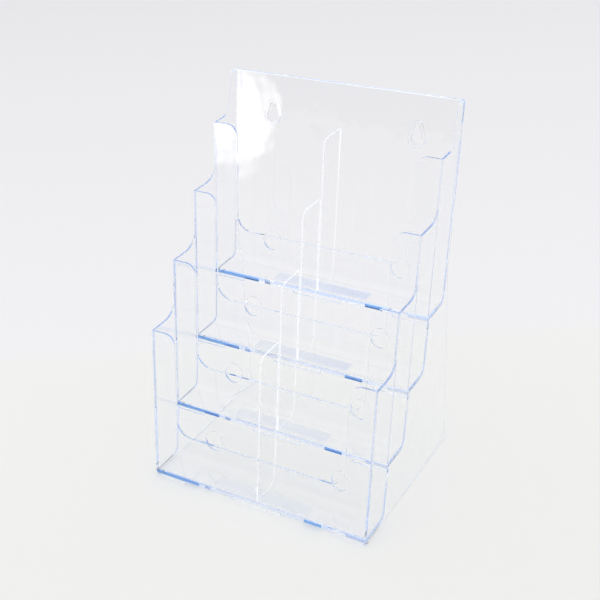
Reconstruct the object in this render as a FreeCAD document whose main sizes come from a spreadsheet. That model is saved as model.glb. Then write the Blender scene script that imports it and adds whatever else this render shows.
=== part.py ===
"""Clear stepped magazine rack: four moulded pockets, two stand panels and four lift-out dividers.

Frame: +X is the viewer's right, +Y is towards the back, +Z is up. The origin is on the ground, at
the middle of the rack's outer box. Lengths are in millimetres.

Each pocket is drawn in its own frame, whose origin is the middle of its floor's front lower edge.
"""
import FreeCAD
import Part
import Sketcher
import math
import os
from types import SimpleNamespace

SIZES = {
    # the stair of pockets
    "pitch_deep": 44.0,  # each pocket stands this far behind the one below it
    "pitch_high": 53.5,  # and this much higher
    # pocket shell
    "half_width": 116.0,  # outer half width at the floor's underside
    "flare": 0.017,  # outward lean of each side wall
    "front_lean": 0.164,  # backward lean of the front panel
    "back_lean": 0.18,  # backward lean of the back panel
    "wall": 2.2,
    "floor_thick": 3.4,
    "pocket_corner": 10.0,  # outer radius between the floor and the back panel
    # front panel: a low lip between two tall side strips
    "lip_top": 48.2,
    "strip_top": 149.7,
    "window_half": 90.5,
    "window_corner": 15.0,
    "strip_corner": 12.0,
    # side wall's top edge where it rises to the next pocket
    "shoulder_start": 45.0,
    "shoulder_radius": 18.5,
    # tall back panel of the top pocket, with a flange along each side
    "back_top": 188.7,
    "flange_foot": 48.1,
    "flange_head": 59.8,
    "flange_radius": 14.0,
    "flange_corner": 5.0,
    "stand_deep": 46.7,  # where the flange's rear edge meets the stand panel
    "stand_high": 37.9,
    # round holes low in each back panel
    "hole_radius": 9.75,
    "hole_across": 70.5,
    "hole_up": 26.2,
    # teardrop keyholes high in the tall back panel, with a rim behind
    "key_across": 76.0,
    "key_up": 149.0,
    "key_head_radius": 5.5,
    "key_neck_radius": 2.6,
    "key_rise": 10.5,
    "rim_wide": 3.2,
    "rim_proud": 2.0,
    # lugs under each floor's front edge, which key into the back panel below
    "lug_drop": 3.0,
    "centre_lug_half": 26.0,
    "side_lug_inner": 82.0,
    "side_lug_outer": 114.0,
    "lug_gap": 0.15,
    # shallow grained patch in the floor
    "patch_half": 50.0,
    "patch_front": 6.9,
    "patch_deep": 13.2,
    "patch_sunk": 0.4,
    # stand panels
    "stand_corner": 10.0,
    "stand_lug_gap": 0.4,
    # dividers
    "divider_thick": 1.5,
    "divider_top": 149.0,
    "divider_front_gap": 0.5,
    "divider_back_gap": 1.4,
    "divider_floor_gap": 0.3,
    "divider_heel_radius": 9.0,
    "divider_front_radius": 9.0,
    "divider_rear_radius": 2.0,
}
TIERS = 4
SPARE = 20.0  # how far a cutting tool reaches past the material
SHORT_SPARE = 1.0  # the same where another wall is near
SHOULDER_SWEEP = math.radians(60)  # first guess at the shoulder arc's sweep, which the sketch solves


class Size:
    """A length with its value and the spreadsheet expression that gives it."""

    def __init__(self, value, text):
        self.value = value
        self.text = text

    def _with(self, other, sign, value):
        return Size(value, f"({self.text} {sign} {as_size(other).text})")

    def __add__(self, other):
        return self._with(other, "+", self.value + as_size(other).value)

    def __sub__(self, other):
        return self._with(other, "-", self.value - as_size(other).value)

    def __mul__(self, other):
        return self._with(other, "*", self.value * as_size(other).value)

    def __truediv__(self, other):
        return self._with(other, "/", self.value / as_size(other).value)

    def __neg__(self):
        return Size(-self.value, f"(-1 * {self.text})")


def as_size(number):
    return number if isinstance(number, Size) else Size(float(number), repr(float(number)))


def level_thickness(wall, lean):
    """Thickness measured level through a wall that leans."""
    return Size(
        wall.value * math.sqrt(1 + lean.value**2),
        f"({wall.text} * sqrt(1 + {lean.text} * {lean.text}))",
    )


def lean_angle(lean):
    """Angle in degrees of a wall that leans by this much for each unit of height."""
    return Size(math.degrees(math.atan(lean.value)), f"atan({lean.text})")


def make_sheet(doc):
    """Write the driving sizes to the sheet and return them by name."""
    sheet = doc.addObject("Spreadsheet::Sheet", "rack")
    for row, (name, value) in enumerate(SIZES.items(), start=1):
        sheet.set(f"A{row}", name)
        sheet.set(f"B{row}", str(value))
        sheet.setAlias(f"B{row}", name)
    doc.recompute()
    return SimpleNamespace(**{name: Size(value, f"rack.{name}") for name, value in SIZES.items()})


def bind(target, prop, size):
    target.setExpression(prop, as_size(size).text)


def origin_plane(body, role):
    return next(plane for plane in body.Origin.OriginFeatures if plane.Role == role)


def new_sketch(body, name, role, offset=None):
    """A sketch on one of the body's own planes, moved along that plane's normal by offset."""
    sketch = body.newObject("Sketcher::SketchObject", name)
    sketch.AttachmentSupport = [(origin_plane(body, role), "")]
    sketch.MapMode = "FlatFace"
    if offset is not None:
        bind(sketch, "AttachmentOffset.Base.z", offset)
    return sketch


def constrain(sketch, kind, *args):
    """Add a constraint; a Size as its last argument is bound to the sheet."""
    if isinstance(args[-1], Size):
        index = sketch.addConstraint(Sketcher.Constraint(kind, *args[:-1], args[-1].value))
        bind(sketch, f"Constraints[{index}]", args[-1])
    else:
        sketch.addConstraint(Sketcher.Constraint(kind, *args))


def place_point(sketch, geometry, position, at):
    """Fix one point of the sketch at its distances from the sketch's origin."""
    for kind, distance in zip(("DistanceX", "DistanceY"), at):
        constrain(sketch, kind, -1, 1, geometry, position, as_size(distance))


def corner_cut(corners, index):
    """Where the rounding of one corner starts and ends, and its arc's middle, in plain numbers."""
    before, here, after = (corners[(index + step) % len(corners)] for step in (-1, 0, 1))
    at = FreeCAD.Vector(as_size(here[0]).value, as_size(here[1]).value, 0)
    arms = [
        (FreeCAD.Vector(as_size(end[0]).value, as_size(end[1]).value, 0) - at).normalize()
        for end in (before, after)
    ]
    half_turn = arms[0].getAngle(arms[1]) / 2
    radius = here[2].value
    reach = radius / math.tan(half_turn)
    middle = at + (arms[0] + arms[1]).normalize() * (radius / math.sin(half_turn) - radius)
    return at + arms[0] * reach, middle, at + arms[1] * reach


def closed_outline(sketch, corners):
    """Draw a closed outline. A corner is (x, y) when sharp or (x, y, radius) when rounded."""
    count = len(corners)
    cuts = []
    for index, corner in enumerate(corners):
        if len(corner) == 3:
            cuts.append(corner_cut(corners, index))
        else:
            at = FreeCAD.Vector(as_size(corner[0]).value, as_size(corner[1]).value, 0)
            cuts.append((at, at, at))
    lines = [
        sketch.addGeometry(Part.LineSegment(cuts[index][2], cuts[(index + 1) % count][0]))
        for index in range(count)
    ]
    for index, corner in enumerate(corners):
        incoming = lines[index - 1]
        outgoing = lines[index]
        if len(corner) == 2:
            constrain(sketch, "Coincident", incoming, 2, outgoing, 1)
            place_point(sketch, outgoing, 1, corner)
            continue
        start, middle, end = cuts[index]
        turns_left = (middle - start).cross(end - middle).z > 0
        ends = (start, end) if turns_left else (end, start)
        arc = sketch.addGeometry(Part.Arc(ends[0], middle, ends[1]))
        first = 1 if turns_left else 2
        constrain(sketch, "Tangent", incoming, 2, arc, first)
        constrain(sketch, "Tangent", arc, 3 - first, outgoing, 1)
        constrain(sketch, "Radius", arc, corner[2])
        at = FreeCAD.Vector(as_size(corner[0]).value, as_size(corner[1]).value, 0)
        tip = sketch.addGeometry(Part.Point(at), True)
        constrain(sketch, "PointOnObject", tip, 1, incoming)
        constrain(sketch, "PointOnObject", tip, 1, outgoing)
        place_point(sketch, tip, 1, corner)


def rectangle(sketch, left, right, low, high):
    closed_outline(sketch, [(left, low), (right, low), (right, high), (left, high)])


def extrude(body, kind, name, sketch, length, both_ways=False, reverse=False):
    """Pad or pocket a sketch by a bound length."""
    feature = body.newObject(f"PartDesign::{kind}", name)
    feature.Profile = sketch
    feature.Type = "Length"
    bind(feature, "Length", length)
    if both_ways:
        feature.SideType = "Symmetric"
    feature.Reversed = reverse
    sketch.Visibility = False
    return feature


def front_at(d, height):
    """Outer face of a front panel at a height."""
    return d.front_lean * height


def back_at(d, height):
    """Inner face of a back panel at a height; it ends flush with the next front panel's foot."""
    return d.pitch_deep + d.back_lean * (as_size(height) - d.pitch_high)


def rear_at(d, height):
    """Outer face of a back panel at a height."""
    return back_at(d, height) + level_thickness(d.wall, d.back_lean)


def low_side_outline(sketch, d):
    """Side view of a lower pocket: its top edge steps up onto the next pocket's front panel."""
    centre = FreeCAD.Vector(d.shoulder_start.value, d.strip_top.value + d.shoulder_radius.value, 0)
    corners = {
        "toe": (as_size(0), as_size(0)),
        "strip": (front_at(d, d.strip_top), d.strip_top),
        "shoulder": (d.shoulder_start, d.strip_top),
        "joint": (d.pitch_deep, d.pitch_high),
        "back": (rear_at(d, d.pitch_high), d.pitch_high),
    }
    at = {name: FreeCAD.Vector(x.value, y.value, 0) for name, (x, y) in corners.items()}
    heel = (rear_at(d, 0), as_size(0))
    rear_end, bend_middle, sole_start = corner_cut(
        [corners["back"], (*heel, d.pocket_corner), corners["toe"]], 1
    )
    path = ("toe", "strip", "shoulder")
    lines = [
        sketch.addGeometry(Part.LineSegment(at[start], at[end])) for start, end in zip(path, path[1:])
    ]
    rise = Part.ArcOfCircle(
        Part.Circle(centre, FreeCAD.Vector(0, 0, 1), d.shoulder_radius.value),
        -math.pi / 2,
        -math.pi / 2 + SHOULDER_SWEEP,
    )
    arc = sketch.addGeometry(rise)
    tip = sketch.Geometry[arc].EndPoint
    down = sketch.addGeometry(Part.LineSegment(tip, at["joint"]))
    ledge = sketch.addGeometry(Part.LineSegment(at["joint"], at["back"]))
    rear = sketch.addGeometry(Part.LineSegment(at["back"], rear_end))
    sole = sketch.addGeometry(Part.LineSegment(sole_start, at["toe"]))
    bend = sketch.addGeometry(Part.Arc(sole_start, bend_middle, rear_end))
    corner = sketch.addGeometry(Part.Point(FreeCAD.Vector(heel[0].value, heel[1].value, 0)), True)
    constrain(sketch, "Coincident", lines[0], 2, lines[1], 1)
    constrain(sketch, "Tangent", lines[1], 2, arc, 1)
    constrain(sketch, "Coincident", arc, 2, down, 1)
    constrain(sketch, "Coincident", down, 2, ledge, 1)
    constrain(sketch, "Coincident", ledge, 2, rear, 1)
    constrain(sketch, "Tangent", sole, 1, bend, 1)
    constrain(sketch, "Tangent", bend, 2, rear, 2)
    constrain(sketch, "Coincident", sole, 2, lines[0], 1)
    constrain(sketch, "Parallel", lines[0], down)
    constrain(sketch, "Radius", arc, d.shoulder_radius)
    constrain(sketch, "Radius", bend, d.pocket_corner)
    constrain(sketch, "PointOnObject", corner, 1, rear)
    constrain(sketch, "PointOnObject", corner, 1, sole)
    place_point(sketch, lines[0], 1, corners["toe"])
    place_point(sketch, lines[1], 1, corners["strip"])
    place_point(sketch, arc, 1, corners["shoulder"])
    place_point(sketch, ledge, 1, corners["joint"])
    place_point(sketch, rear, 1, corners["back"])
    place_point(sketch, corner, 1, heel)


def top_side_outline(sketch, d):
    """Side view of the top pocket: its top edge turns up into the back panel's side flange."""
    closed_outline(
        sketch,
        [
            (0, 0),
            (front_at(d, d.strip_top), d.strip_top),
            (d.flange_foot, d.strip_top, d.flange_radius),
            (d.flange_head, d.back_top, d.flange_corner),
            (rear_at(d, d.back_top), d.back_top),
            (d.stand_deep, d.stand_high),
            (rear_at(d, d.stand_high), d.stand_high),
            (rear_at(d, 0), 0, d.pocket_corner),
        ],
    )


def trim_flanks(body, d, top):
    """Cut both flanks to the side walls' outward lean."""
    sketch = new_sketch(body, "flank_waste", "XZ_Plane")
    low = -d.lug_drop
    far = d.half_width + d.flare * top + SPARE
    for side in (1, -1):
        near_low = (d.half_width + d.flare * low) * side
        near_top = (d.half_width + d.flare * top) * side
        closed_outline(sketch, [(near_low, low), (far * side, low), (far * side, top), (near_top, top)])
    return extrude(body, "Pocket", "trim_flanks", sketch, top * 2, both_ways=True)


def cut_cavity(body, d, ceiling):
    """Hollow the pocket between its leaning front, back and side walls.

    A wedge primitive grows along its own Y axis, so it is turned to grow upwards; its Z axis then
    points to the front.
    """
    cavity = body.newObject("PartDesign::SubtractiveWedge", "cavity")
    cavity.Placement = FreeCAD.Placement(
        FreeCAD.Vector(), FreeCAD.Rotation(FreeCAD.Vector(1, 0, 0), 90)
    )
    bind(cavity, "Ymin", d.floor_thick)
    bind(cavity, "Ymax", ceiling)
    for prefix, height in (("", d.floor_thick), ("2", ceiling)):
        half = d.half_width - level_thickness(d.wall, d.flare) + d.flare * height
        front = front_at(d, height) + level_thickness(d.wall, d.front_lean)
        bind(cavity, f"X{prefix}min", -half)
        bind(cavity, f"X{prefix}max", half)
        bind(cavity, f"Z{prefix}min", -back_at(d, height))
        bind(cavity, f"Z{prefix}max", -front)
    return cavity


def round_heel(body, d, cavity):
    """Round the cavity's corner between the floor and the back panel."""
    body.Document.recompute()
    heel = FreeCAD.Vector(0, back_at(d, d.floor_thick).value, d.floor_thick.value)
    edges = cavity.Shape.Edges
    nearest = min(range(len(edges)), key=lambda index: edges[index].CenterOfMass.distanceToPoint(heel))
    fillet = body.newObject("PartDesign::Fillet", "inner_heel")
    fillet.Base = (cavity, [f"Edge{nearest + 1}"])
    bind(fillet, "Radius", d.pocket_corner - d.wall)
    return fillet


def cut_window(body, d, ceiling):
    """Open the front panel above the lip, and round the inner corner of each side strip."""
    sketch = new_sketch(body, "window", "XZ_Plane")
    strip_edge = d.window_half + d.flare * (d.strip_top - d.lip_top)
    far = d.half_width + SPARE
    closed_outline(
        sketch,
        [
            (-d.window_half, d.lip_top, d.window_corner),
            (d.window_half, d.lip_top, d.window_corner),
            (strip_edge, d.strip_top, d.strip_corner),
            (far, d.strip_top),
            (far, ceiling),
            (-far, ceiling),
            (-far, d.strip_top),
            (-strip_edge, d.strip_top, d.strip_corner),
        ],
    )
    depth = front_at(d, d.strip_top) + level_thickness(d.wall, d.front_lean) + SHORT_SPARE
    return extrude(body, "Pocket", "front_window", sketch, depth)


def back_panel_sketch(body, name, d, height):
    """A sketch that lies on the back panel's inner face, with its origin at a height."""
    sketch = new_sketch(body, name, "XZ_Plane")
    tilt = -lean_angle(d.back_lean)
    sketch.AttachmentOffset = FreeCAD.Placement(
        FreeCAD.Vector(), FreeCAD.Rotation(FreeCAD.Vector(1, 0, 0), tilt.value)
    )
    bind(sketch, "AttachmentOffset.Base.y", height)
    bind(sketch, "AttachmentOffset.Base.z", -back_at(d, height))
    bind(sketch, "AttachmentOffset.Rotation.Angle", tilt)
    return sketch


def cut_round_holes(body, d):
    """Two round holes low in the back panel."""
    sketch = back_panel_sketch(body, "hole_pair", d, d.hole_up)
    for side in (1, -1):
        circle = sketch.addGeometry(
            Part.Circle(
                FreeCAD.Vector(d.hole_across.value * side, 0, 0),
                FreeCAD.Vector(0, 0, 1),
                d.hole_radius.value,
            )
        )
        constrain(sketch, "Radius", circle, d.hole_radius)
        place_point(sketch, circle, 3, (d.hole_across * side, as_size(0)))
    return extrude(body, "Pocket", "round_holes", sketch, d.wall * 2)


def teardrop(sketch, d, side, grow):
    """Two circles, the larger below, joined by their tangents; grow widens the outline."""
    head = d.key_head_radius + grow
    neck = d.key_neck_radius + grow
    across = d.key_across * side
    spread = math.acos((head.value - neck.value) / d.key_rise.value)
    centres = {"head": FreeCAD.Vector(across.value, 0, 0)}
    centres["neck"] = centres["head"] + FreeCAD.Vector(0, d.key_rise.value, 0)
    up = math.pi / 2
    arcs = {}
    for part, radius, start, end in (
        ("head", head, up + spread, up - spread + 2 * math.pi),
        ("neck", neck, up - spread, up + spread),
    ):
        circle = Part.Circle(centres[part], FreeCAD.Vector(0, 0, 1), radius.value)
        arcs[part] = sketch.addGeometry(Part.ArcOfCircle(circle, start, end))
    head_ends = sketch.Geometry[arcs["head"]]
    neck_ends = sketch.Geometry[arcs["neck"]]
    right = sketch.addGeometry(Part.LineSegment(head_ends.EndPoint, neck_ends.StartPoint))
    left = sketch.addGeometry(Part.LineSegment(neck_ends.EndPoint, head_ends.StartPoint))
    constrain(sketch, "Tangent", arcs["head"], 2, right, 1)
    constrain(sketch, "Tangent", right, 2, arcs["neck"], 1)
    constrain(sketch, "Tangent", arcs["neck"], 2, left, 1)
    constrain(sketch, "Tangent", left, 2, arcs["head"], 1)
    constrain(sketch, "Radius", arcs["head"], head)
    constrain(sketch, "Radius", arcs["neck"], neck)
    place_point(sketch, arcs["head"], 3, (across, as_size(0)))
    place_point(sketch, arcs["neck"], 3, (across, d.key_rise))


def add_keyholes(body, d):
    """Teardrop keyholes, each with a rim that stands out behind the panel."""
    rims = back_panel_sketch(body, "key_rims", d, d.key_up)
    for side in (1, -1):
        teardrop(rims, d, side, d.rim_wide)
    extrude(body, "Pad", "keyhole_rims", rims, d.wall + d.rim_proud, reverse=True)
    cuts = back_panel_sketch(body, "key_cuts", d, d.key_up)
    for side in (1, -1):
        teardrop(cuts, d, side, as_size(0))
    return extrude(body, "Pocket", "keyholes", cuts, (d.wall + d.rim_proud) * 2)


def lug_rows(d, grow):
    """Left and right ends of the three lugs; grow widens them."""
    side = (d.side_lug_inner - grow, d.side_lug_outer + grow)
    centre = d.centre_lug_half + grow
    return [(-side[1], -side[0]), (-centre, centre), side]


def add_lugs(body, d):
    """Three lugs under the floor's front edge."""
    sketch = new_sketch(body, "lug_row", "XY_Plane")
    for left, right in lug_rows(d, as_size(0)):
        rectangle(sketch, left, right, as_size(0), level_thickness(d.wall, d.back_lean))
    return extrude(body, "Pad", "lugs", sketch, d.lug_drop, reverse=True)


def cut_notches(body, d):
    """Notches in the back panel's top edge for the lugs of the pocket above."""
    sketch = new_sketch(body, "notch_row", "XY_Plane", d.pitch_high)
    for left, right in lug_rows(d, d.lug_gap):
        rectangle(sketch, left, right, d.pitch_deep - d.wall, rear_at(d, d.pitch_high) + d.wall)
    return extrude(body, "Pocket", "notches", sketch, d.lug_drop + d.lug_gap)


def cut_patch(body, d):
    """Shallow grained patch near the front of the floor."""
    sketch = new_sketch(body, "patch", "XY_Plane", d.floor_thick)
    rectangle(sketch, -d.patch_half, d.patch_half, d.patch_front, d.patch_front + d.patch_deep)
    return extrude(body, "Pocket", "floor_patch", sketch, d.patch_sunk)


def open_behind_panel(body, d):
    """Leave only a thin flange at each side behind the tall back panel."""
    sketch = new_sketch(body, "behind_panel", "YZ_Plane")
    clear = rear_at(d, d.back_top) + SPARE
    closed_outline(
        sketch,
        [
            (rear_at(d, d.stand_high - SPARE), d.stand_high - SPARE),
            (clear, d.stand_high - SPARE),
            (clear, d.back_top),
            (rear_at(d, d.back_top), d.back_top),
        ],
    )
    width = (d.half_width - d.wall + d.flare * d.stand_high) * 2
    return extrude(body, "Pocket", "behind_panel_space", sketch, width, both_ways=True)


def make_pocket(doc, d, name, tier, top_tier):
    """One moulded pocket; the top one has the tall back panel."""
    body = doc.addObject("PartDesign::Body", name)
    top = d.back_top + SPARE
    outline = new_sketch(body, "side_view", "YZ_Plane")
    if top_tier:
        top_side_outline(outline, d)
    else:
        low_side_outline(outline, d)
    extrude(body, "Pad", "block", outline, (d.half_width + SPARE) * 2, both_ways=True)
    trim_flanks(body, d, top)
    round_heel(body, d, cut_cavity(body, d, top))
    cut_window(body, d, top)
    if top_tier:
        open_behind_panel(body, d)
        add_keyholes(body, d)
    else:
        cut_notches(body, d)
    cut_round_holes(body, d)
    cut_patch(body, d)
    body.Tip = add_lugs(body, d)
    place_in_tier(body, d, tier)
    return body


def middle_depth(d):
    """Distance from the lowest pocket's front edge to the middle of the rack's depth."""
    return (d.pitch_deep * (TIERS - 1) + rear_at(d, d.back_top)) / 2


def place_in_tier(body, d, tier):
    """Put a pocket, or what stands in it, on its step of the stair; tier 0 is the lowest."""
    bind(body, "Placement.Base.y", d.pitch_deep * tier - middle_depth(d))
    bind(body, "Placement.Base.z", d.pitch_high * tier + d.lug_drop)


def make_side_panel(doc, d, name, left_face):
    """Flat stand panel that fills the space behind and under the stair of pockets."""
    body = doc.addObject("PartDesign::Body", name)
    plate = new_sketch(body, "plate_outline", "YZ_Plane")
    front = level_thickness(d.wall, d.back_lean) + d.stand_lug_gap
    rear = d.pitch_deep * (TIERS - 1) + d.stand_deep
    top = d.pitch_high * (TIERS - 1) + d.stand_high
    closed_outline(
        plate,
        [(front, -d.lug_drop), (rear, -d.lug_drop, d.stand_corner), (rear, top), (front, top)],
    )
    extrude(body, "Pad", "plate", plate, d.wall)
    for tier in range(TIERS):
        step = new_sketch(body, f"step_{tier + 1}", "YZ_Plane")
        deep = d.pitch_deep * tier
        high = d.pitch_high * tier
        closed_outline(
            step,
            [
                (as_size(-SPARE), high),
                (rear_at(d, 0) + deep, high, d.pocket_corner),
                (rear_at(d, d.pitch_high) + deep, high + d.pitch_high),
                (as_size(-SPARE), high + d.pitch_high),
            ],
        )
        through = (d.wall + SHORT_SPARE) * 2
        body.Tip = extrude(body, "Pocket", f"step_{tier + 1}_cut", step, through, both_ways=True)
    bind(body, "Placement.Base.x", left_face)
    bind(body, "Placement.Base.y", -middle_depth(d))
    bind(body, "Placement.Base.z", d.lug_drop)
    return body


def make_divider(doc, d, name, tier):
    """Flat plate that stands on the pocket's floor between the front and back panels."""
    body = doc.addObject("PartDesign::Body", name)
    sketch = new_sketch(body, "divider_outline", "YZ_Plane")
    foot = d.floor_thick + d.divider_floor_gap
    gap = level_thickness(d.wall, d.front_lean) + d.divider_front_gap
    closed_outline(
        sketch,
        [
            (front_at(d, foot) + gap, foot),
            (front_at(d, d.divider_top) + gap, d.divider_top, d.divider_front_radius),
            (back_at(d, d.divider_top) - d.divider_back_gap, d.divider_top, d.divider_rear_radius),
            (back_at(d, foot) - d.divider_back_gap, foot, d.divider_heel_radius),
        ],
    )
    body.Tip = extrude(body, "Pad", "plate", sketch, d.divider_thick, both_ways=True)
    place_in_tier(body, d, tier)
    return body


def check_document(doc):
    """Stop on any object that failed to compute."""
    for item in doc.Objects:
        if {"Invalid", "Error"} & set(item.State):
            raise RuntimeError(f"{item.Name} failed: {item.State}")


def main():
    doc = FreeCAD.newDocument("magazine_rack")
    d = make_sheet(doc)
    pieces = []
    for tier in range(TIERS):
        number = TIERS - tier
        pieces.append(make_pocket(doc, d, f"pocket_tier_{number}", tier, number == 1))
        pieces.append(make_divider(doc, d, f"divider_{number}", tier))
    pieces.append(make_side_panel(doc, d, "left_side_panel", -d.half_width))
    pieces.append(make_side_panel(doc, d, "right_side_panel", d.half_width - d.wall))
    doc.recompute()
    check_document(doc)
    os.makedirs("parts", exist_ok=True)
    for piece in pieces:
        if piece.Shape.isNull() or not piece.Shape.isValid() or len(piece.Shape.Solids) != 1:
            raise RuntimeError(f"{piece.Label} has a bad shape")
        piece.Shape.exportStep(f"parts/{piece.Label}.step")
        box = piece.Shape.BoundBox
        print(
            f"{piece.Label}: {piece.Shape.Volume / 1000:.1f} cm3,"
            f" x {box.XMin:.1f}..{box.XMax:.1f}, y {box.YMin:.1f}..{box.YMax:.1f},"
            f" z {box.ZMin:.1f}..{box.ZMax:.1f}"
        )


main()
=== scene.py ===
"""Looks for the clear stepped magazine rack: clear plastic, a pale table and soft studio light.

Lengths are in metres and angles in radians, in the frame's own axes: +Y towards the back, +Z up.
"""
import math
import bpy
from mathutils import Matrix, Vector


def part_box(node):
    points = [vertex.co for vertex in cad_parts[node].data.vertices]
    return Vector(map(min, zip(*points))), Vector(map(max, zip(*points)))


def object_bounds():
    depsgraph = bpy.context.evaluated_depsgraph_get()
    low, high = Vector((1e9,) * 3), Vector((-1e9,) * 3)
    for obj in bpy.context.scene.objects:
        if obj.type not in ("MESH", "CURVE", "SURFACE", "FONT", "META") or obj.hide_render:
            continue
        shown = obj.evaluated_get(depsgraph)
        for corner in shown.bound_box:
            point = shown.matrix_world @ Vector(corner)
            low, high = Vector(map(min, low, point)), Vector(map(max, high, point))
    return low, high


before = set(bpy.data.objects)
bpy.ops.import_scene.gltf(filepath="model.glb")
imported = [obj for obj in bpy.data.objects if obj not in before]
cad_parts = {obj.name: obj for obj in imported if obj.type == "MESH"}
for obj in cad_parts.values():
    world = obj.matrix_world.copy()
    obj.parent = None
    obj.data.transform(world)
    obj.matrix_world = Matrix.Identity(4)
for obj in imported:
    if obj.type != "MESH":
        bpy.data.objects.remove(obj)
cad_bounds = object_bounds()

TIERS = 4
TOP_TIER = TIERS - 1  # counted from 0 at the bottom

# camera, placed from the middle of the rack; azimuth 0 looks along +Y
CAMERA_AZIMUTH = math.radians(31.19)
CAMERA_ELEVATION = math.radians(29.88)
CAMERA_ROLL = math.radians(-3.24)
CAMERA_DISTANCE = 1.031
CAMERA_DROP = 0.002
CAMERA_LENS = 66.14
CAMERA_SENSOR = 36.0

# clear plastic: it absorbs a little red and green, and a faint painted glow stands in for the light that
# the real material scatters
PLASTIC_IOR = 1.59
CLEAR = (0.990, 0.990, 0.993)
TINT = (0.25, 0.52, 0.95)
PAINTED_GLOW_COLOR = (0.91, 0.95, 1.0)
POCKET_DENSITY = 3.8  # per metre of plastic
POCKET_PAINTED_GLOW = 0.003
POCKET_WAVES = 0.15
DIVIDER_DENSITY = 0.5
DIVIDER_PAINTED_GLOW = 0.0005
DIVIDER_WAVES = 0.03
WAVE_SCALE = 25.0
WAVE_DEPTH = 0.002

# softened edges
WELD_DISTANCE = 0.00001
FLAT_ANGLE = 0.01
SHARP_ANGLE = 0.6
EDGE_RADIUS = 0.0003
EDGE_SEGMENTS = 2
SLACK = 0.0005  # how far a marked face may lie from its nominal place

# each pocket's floor, measured from the middle of its front lower edge
LUG_DROP = 0.003
FLOOR_THICK = 0.0034
WALL = 0.0022
EDGE_ROUGH = 0.35
# painted glow along each floor's front edge beside the blue bars
EDGE_GLOW = 0.008
PAINTED_GLOW_BLUE = (0.07, 0.24, 0.68)
# painted edge glow: blue bars along the floor's front edge, the plastic's own blue with the glow of
# light guided along the edge painted in; left end, right end and strength, set from the photo
PAINTED_GLOW_BARS = ((-0.115, -0.065, 1.0), (-0.058, -0.052, 0.7), (0.052, 0.070, 1.0), (0.095, 0.115, 0.6))
HALF_TIER = 0.5  # keeps a test on tier numbers midway between two of them
PATCH_HALF = 0.05
PATCH_FRONT = 0.0069
PATCH_DEEP = 0.0132
PATCH_SUNK = 0.0004
PATCH_SLACK = 0.0002
PATCH_ROUGH = 0.5
PATCH_BLUE = (0.74, 0.79, 0.92)
PATCH_MIDDLE = 0.8  # strength of the patch's tint at its middle; it fades towards the left

# glow that stands in for the light leaving the tall back panel's top edge
TOP_GLOW = 0.22

# glowing strip along each divider's rear edge
BACK_LEAN = 0.18
STRIP_WIDE = 0.0008
STRIP_GLOW = 0.07

# table: its tone at each distance behind the rack, with a faint step where the wall starts; the far tone
# is darker, painted shade for the dimmer light far back
TABLE_SIZE = 12.0
TABLE_GAP = 0.0002
TABLE_ROUGH = 0.9
TABLE_SHINE = 0.2
TABLE_TONES_AND_SHADE = (
    (-1.0, (0.82, 0.82, 0.80)),
    (0.188, (0.86, 0.86, 0.845)),
    (0.212, (0.86, 0.857, 0.875)),
    (3.0, (0.72, 0.72, 0.75)),
)

# soft light, brighter overhead, and a small window that the tall back panel reflects at its left
HORIZON = 0.62
ZENITH = 1.235
WINDOW_AT = Vector((-0.955, -1.255, 0.215))
WINDOW_AIM = Vector((-0.09, 0.09, 0.31))
WINDOW_HALF = (0.11, 0.15)
WINDOW_STRENGTH = 6.0
LIGHT_BOUNCES = 128


class Look:
    """A material in the making, with short ways to add nodes to it."""

    def __init__(self, name):
        self.material = bpy.data.materials.new(name)
        self.material.use_nodes = True
        self.nodes = self.material.node_tree.nodes
        self.shader = self.nodes["Principled BSDF"]
        self.output = self.nodes["Material Output"]
        self.place = self.nodes.new("ShaderNodeTexCoord").outputs["Object"]

    def link(self, source, socket):
        self.material.node_tree.links.new(source, socket)

    def axes(self):
        """The point being shaded as X, Y and Z in its node's coordinates."""
        split = self.nodes.new("ShaderNodeSeparateXYZ")
        self.link(self.place, split.inputs["Vector"])
        return [split.outputs[axis] for axis in "XYZ"]

    def calc(self, operation, *values):
        """The result of a Math node; a value is a number or another node's output."""
        node = self.nodes.new("ShaderNodeMath")
        node.operation = operation
        for socket, value in zip(node.inputs, values):
            if isinstance(value, bpy.types.NodeSocket):
                self.link(value, socket)
            else:
                socket.default_value = value
        return node.outputs["Value"]

    def total(self, *values):
        result = values[0]
        for value in values[1:]:
            result = self.calc("ADD", result, value)
        return result

    def product(self, *values):
        result = values[0]
        for value in values[1:]:
            result = self.calc("MULTIPLY", result, value)
        return result

    def between(self, value, least, most):
        """1 where the value lies between two limits, and 0 elsewhere."""
        return self.product(self.calc("GREATER_THAN", value, least), self.calc("LESS_THAN", value, most))

    def tinted(self, base, *layers):
        """A base colour with (mask, colour) layers laid over it."""
        below = (*base, 1.0)
        for mask, color in layers:
            mix = self.nodes.new("ShaderNodeMix")
            mix.data_type = "RGBA"
            mix.inputs["B"].default_value = (*color, 1.0)
            self.link(mask, mix.inputs["Factor"])
            if isinstance(below, bpy.types.NodeSocket):
                self.link(below, mix.inputs["A"])
            else:
                mix.inputs["A"].default_value = below
            below = mix.outputs["Result"]
        return below


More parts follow.
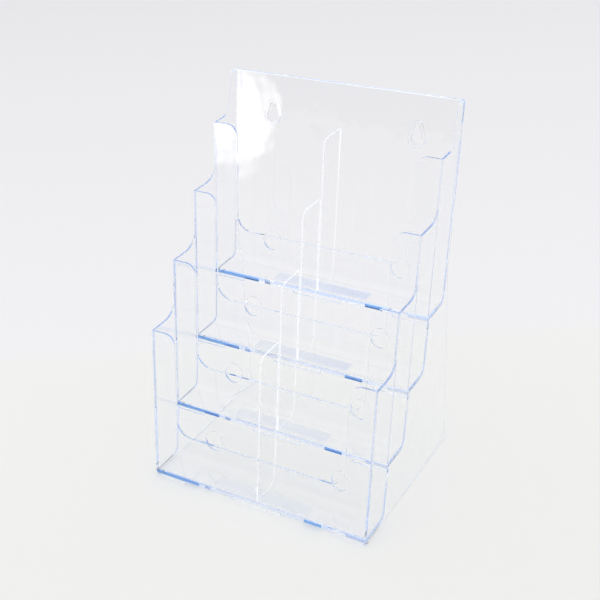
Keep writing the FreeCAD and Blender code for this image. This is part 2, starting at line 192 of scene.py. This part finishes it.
def clear_plastic(name, density, painted_glow, waves):
    """Clear plastic that turns blue along a long path, with a faintly wavy surface and a faint painted
    glow.
    """
    look = Look(name)
    for socket, value in (
        ("Base Color", (*CLEAR, 1.0)),
        ("Roughness", 0.0),
        ("IOR", PLASTIC_IOR),
        ("Transmission Weight", 1.0),
        # painted glow: emission that stands in for the light scattered inside the plastic
        ("Emission Color", (*PAINTED_GLOW_COLOR, 1.0)),
        ("Emission Strength", painted_glow),
    ):
        look.shader.inputs[socket].default_value = value
    look.material.cycles.emission_sampling = "NONE"
    absorb = look.nodes.new("ShaderNodeVolumeAbsorption")
    absorb.inputs["Color"].default_value = (*TINT, 1.0)
    absorb.inputs["Density"].default_value = density
    look.link(absorb.outputs["Volume"], look.output.inputs["Volume"])
    noise = look.nodes.new("ShaderNodeTexNoise")
    noise.inputs["Scale"].default_value = WAVE_SCALE
    look.link(look.place, noise.inputs["Vector"])
    bump = look.nodes.new("ShaderNodeBump")
    bump.inputs["Strength"].default_value = waves
    bump.inputs["Distance"].default_value = WAVE_DEPTH
    look.link(noise.outputs["Fac"], bump.inputs["Height"])
    look.link(bump.outputs["Normal"], look.shader.inputs["Normal"])
    return look


def panel_plastic():
    return clear_plastic("clear_panel", POCKET_DENSITY, POCKET_PAINTED_GLOW, POCKET_WAVES).material


def divider_plastic(node):
    """Clear plastic with a fine glowing strip that stands in for light leaving the rear edge."""
    look = clear_plastic(f"clear_{node}", DIVIDER_DENSITY, DIVIDER_PAINTED_GLOW, DIVIDER_WAVES)
    _, y, z = look.axes()
    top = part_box(node)[1]
    below_top = look.calc("SUBTRACT", top.z, z)
    to_rear = look.calc("SUBTRACT", look.calc("SUBTRACT", top.y, y), look.product(below_top, BACK_LEAN))
    strip = look.calc("LESS_THAN", to_rear, STRIP_WIDE)
    glow = look.total(look.product(strip, STRIP_GLOW), DIVIDER_PAINTED_GLOW)
    look.link(glow, look.shader.inputs["Emission Strength"])
    return look.material


def pocket_plastic():
    """Clear plastic with painted edge-glow blue bars and grained patches on the floors, and a painted
    glow along the top edge.

    Each pocket stands one step behind and above the one below it, so every point is first brought
    back to its place over its own pocket's front lower edge.
    """
    look = clear_plastic("clear_pocket", POCKET_DENSITY, POCKET_PAINTED_GLOW, POCKET_WAVES)
    x, y, z = look.axes()
    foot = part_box("pocket_tier_4")[0]
    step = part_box("pocket_tier_3")[0] - foot
    height = look.calc("SUBTRACT", z, foot.z + LUG_DROP)
    tier = look.calc("FLOOR", look.calc("DIVIDE", look.total(height, SLACK), step.z))
    above = look.calc("SUBTRACT", height, look.product(tier, step.z))
    behind = look.calc("SUBTRACT", look.calc("SUBTRACT", y, foot.y), look.product(tier, step.y))

    edge = look.product(
        look.between(above, -SLACK, FLOOR_THICK - SLACK),
        look.between(behind, -SLACK, WALL),
        look.calc("LESS_THAN", tier, TOP_TIER + HALF_TIER),
    )
    # painted edge glow: blue bars along each floor's front edge
    glow_bar_masks = [look.product(look.between(x, left, right), depth) for left, right, depth in PAINTED_GLOW_BARS]
    painted_glow_bar = look.product(edge, look.total(*glow_bar_masks))

    level = FLOOR_THICK - PATCH_SUNK
    patch = look.product(
        look.between(x, -PATCH_HALF - PATCH_SLACK, PATCH_HALF + PATCH_SLACK),
        look.between(behind, PATCH_FRONT - SLACK, PATCH_FRONT + PATCH_DEEP + SLACK),
        look.between(above, level - PATCH_SLACK, level + PATCH_SLACK),
    )
    rightward = look.total(look.calc("DIVIDE", x, 2 * PATCH_HALF), PATCH_MIDDLE)
    upward = look.calc("DIVIDE", look.total(tier, 1.0), TIERS)
    patch_tint = look.product(patch, rightward, upward)

    top_edge = look.calc("GREATER_THAN", z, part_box("pocket_tier_1")[1].z - SLACK)
    # painted glow: along the floors' front edges beside the bars, along the top edge, and faintly over
    # all the plastic
    glow = look.total(
        look.product(look.calc("SUBTRACT", edge, painted_glow_bar), EDGE_GLOW),
        look.product(top_edge, TOP_GLOW),
        POCKET_PAINTED_GLOW,
    )
    rough = look.total(look.product(edge, EDGE_ROUGH), look.product(patch, PATCH_ROUGH))
    color = look.tinted(CLEAR, (painted_glow_bar, PAINTED_GLOW_BLUE), (patch_tint, PATCH_BLUE))
    look.link(color, look.shader.inputs["Base Color"])
    look.link(rough, look.shader.inputs["Roughness"])
    look.link(glow, look.shader.inputs["Emission Strength"])
    return look.material


def table_top(away):
    """Pale matt table whose tone changes with the distance away from the viewer; far away it darkens
    into painted shade.
    """
    look = Look("table_top")
    look.shader.inputs["Roughness"].default_value = TABLE_ROUGH
    look.shader.inputs["Specular IOR Level"].default_value = TABLE_SHINE
    depth = look.nodes.new("ShaderNodeVectorMath")
    depth.operation = "DOT_PRODUCT"
    depth.inputs[1].default_value = away
    look.link(look.place, depth.inputs[0])
    (near, near_tone), *inner, (far, far_tone_and_shade) = TABLE_TONES_AND_SHADE
    share = look.nodes.new("ShaderNodeMapRange")
    share.inputs["From Min"].default_value = near
    share.inputs["From Max"].default_value = far
    look.link(depth.outputs["Value"], share.inputs["Value"])
    ramp = look.nodes.new("ShaderNodeValToRGB")
    stops = ramp.color_ramp.elements
    stops[0].color = (*near_tone, 1.0)
    stops[1].color = (*far_tone_and_shade, 1.0)
    for distance, tone in inner:
        stop = stops.new((distance - near) / (far - near))
        stop.color = (*tone, 1.0)
    look.link(share.outputs["Result"], ramp.inputs["Fac"])
    look.link(ramp.outputs["Color"], look.shader.inputs["Base Color"])
    return look.material


def window_glow():
    """Light that is brightest in the middle of its card and fades to nothing at the rim."""
    look = Look("window_glow")
    fade = look.nodes.new("ShaderNodeTexGradient")
    fade.gradient_type = "SPHERICAL"
    look.link(look.place, fade.inputs["Vector"])
    emission = look.nodes.new("ShaderNodeEmission")
    look.link(look.product(fade.outputs["Fac"], WINDOW_STRENGTH), emission.inputs["Strength"])
    clear = look.nodes.new("ShaderNodeBsdfTransparent")
    both = look.nodes.new("ShaderNodeAddShader")
    look.link(clear.outputs["BSDF"], both.inputs[0])
    look.link(emission.outputs["Emission"], both.inputs[1])
    look.link(both.outputs["Shader"], look.output.inputs["Surface"])
    look.nodes.remove(look.shader)
    return look.material


def soften(piece):
    """Round every sharp edge of a CAD node a little, as moulded plastic is."""
    weld = piece.modifiers.new("weld", "WELD")
    weld.merge_threshold = WELD_DISTANCE
    flat = piece.modifiers.new("flat_faces", "DECIMATE")
    flat.decimate_type = "DISSOLVE"
    flat.angle_limit = FLAT_ANGLE
    bevel = piece.modifiers.new("soft_edges", "BEVEL")
    bevel.width = EDGE_RADIUS
    bevel.segments = EDGE_SEGMENTS
    bevel.limit_method = "ANGLE"
    bevel.angle_limit = SHARP_ANGLE
    bevel.harden_normals = True
    piece.modifiers.new("normals", "WEIGHTED_NORMAL")


def dress(node, material):
    """Give a CAD node its material and its softened edges, keeping its shape."""
    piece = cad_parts[node]
    for slot in piece.material_slots:
        slot.material = material
    soften(piece)


def dress_rack():
    pocket = pocket_plastic()
    panel = panel_plastic()
    for tier in range(1, TIERS + 1):
        dress(f"pocket_tier_{tier}", pocket)
        divider = f"divider_{tier}"
        dress(divider, divider_plastic(divider))
    for side in ("left", "right"):
        dress(f"{side}_side_panel", panel)


def square(name, material):
    """Flat square that reaches 1 m each way from its own origin."""
    mesh = bpy.data.meshes.new(name)
    corners = [(-1, -1, 0), (1, -1, 0), (1, 1, 0), (-1, 1, 0)]
    mesh.from_pydata(corners, [], [(0, 1, 2, 3)])
    mesh.materials.append(material)
    sheet = bpy.data.objects.new(name, mesh)
    bpy.context.scene.collection.objects.link(sheet)
    return sheet


def direction(azimuth, elevation):
    """Unit vector from the rack towards a viewer at this azimuth and elevation."""
    level = math.cos(elevation)
    return Vector((math.sin(azimuth) * level, -math.cos(azimuth) * level, math.sin(elevation)))


def add_table(ground):
    reach = TABLE_SIZE / 2
    table = square("floor", table_top(-direction(CAMERA_AZIMUTH, 0)))
    table.data.transform(Matrix.Diagonal((reach, reach, 1, 1)))
    table.location = (0, 0, ground - TABLE_GAP)


def add_window():
    """Small light card in front of the rack, at the left."""
    card = square("window_card", window_glow())
    turn = (WINDOW_AIM - WINDOW_AT).to_track_quat("Z", "Y").to_matrix().to_4x4()
    card.matrix_world = Matrix.Translation(WINDOW_AT) @ turn @ Matrix.Diagonal((*WINDOW_HALF, 1, 1))


def add_world():
    """Soft studio: darker round the sides, brighter overhead."""
    world = bpy.data.worlds.new("studio")
    world.use_nodes = True
    nodes = world.node_tree.nodes
    links = world.node_tree.links
    nodes["Background"].inputs["Color"].default_value = (1.0, 1.0, 1.0, 1.0)
    place = nodes.new("ShaderNodeTexCoord")
    split = nodes.new("ShaderNodeSeparateXYZ")
    links.new(place.outputs["Generated"], split.inputs["Vector"])
    ramp = nodes.new("ShaderNodeMapRange")
    ramp.inputs["To Min"].default_value = HORIZON
    ramp.inputs["To Max"].default_value = ZENITH
    links.new(split.outputs["Z"], ramp.inputs["Value"])
    links.new(ramp.outputs["Result"], nodes["Background"].inputs["Strength"])
    bpy.context.scene.world = world


def add_camera(middle):
    back = direction(CAMERA_AZIMUTH, CAMERA_ELEVATION)
    data = bpy.data.cameras.new("camera")
    data.lens = CAMERA_LENS
    data.sensor_width = CAMERA_SENSOR
    camera = bpy.data.objects.new("camera", data)
    bpy.context.scene.collection.objects.link(camera)
    turn = back.to_track_quat("Z", "Y").to_matrix() @ Matrix.Rotation(CAMERA_ROLL, 3, "Z")
    at = middle - Vector((0, 0, CAMERA_DROP)) + back * CAMERA_DISTANCE
    camera.matrix_world = Matrix.Translation(at) @ turn.to_4x4()
    bpy.context.scene.camera = camera


def set_light_paths():
    """Follow light through all the plastic walls, and keep its full contrast."""
    scene = bpy.context.scene
    scene.view_settings.view_transform = "Standard"
    scene.cycles.max_bounces = LIGHT_BOUNCES
    scene.cycles.transmission_bounces = LIGHT_BOUNCES
    scene.cycles.glossy_bounces = LIGHT_BOUNCES
    scene.cycles.blur_glossy = 0.0


low, high = (Vector(corner) for corner in cad_bounds)
dress_rack()
add_table(low.z)
add_window()
add_world()
add_camera((low + high) / 2)
set_light_paths()
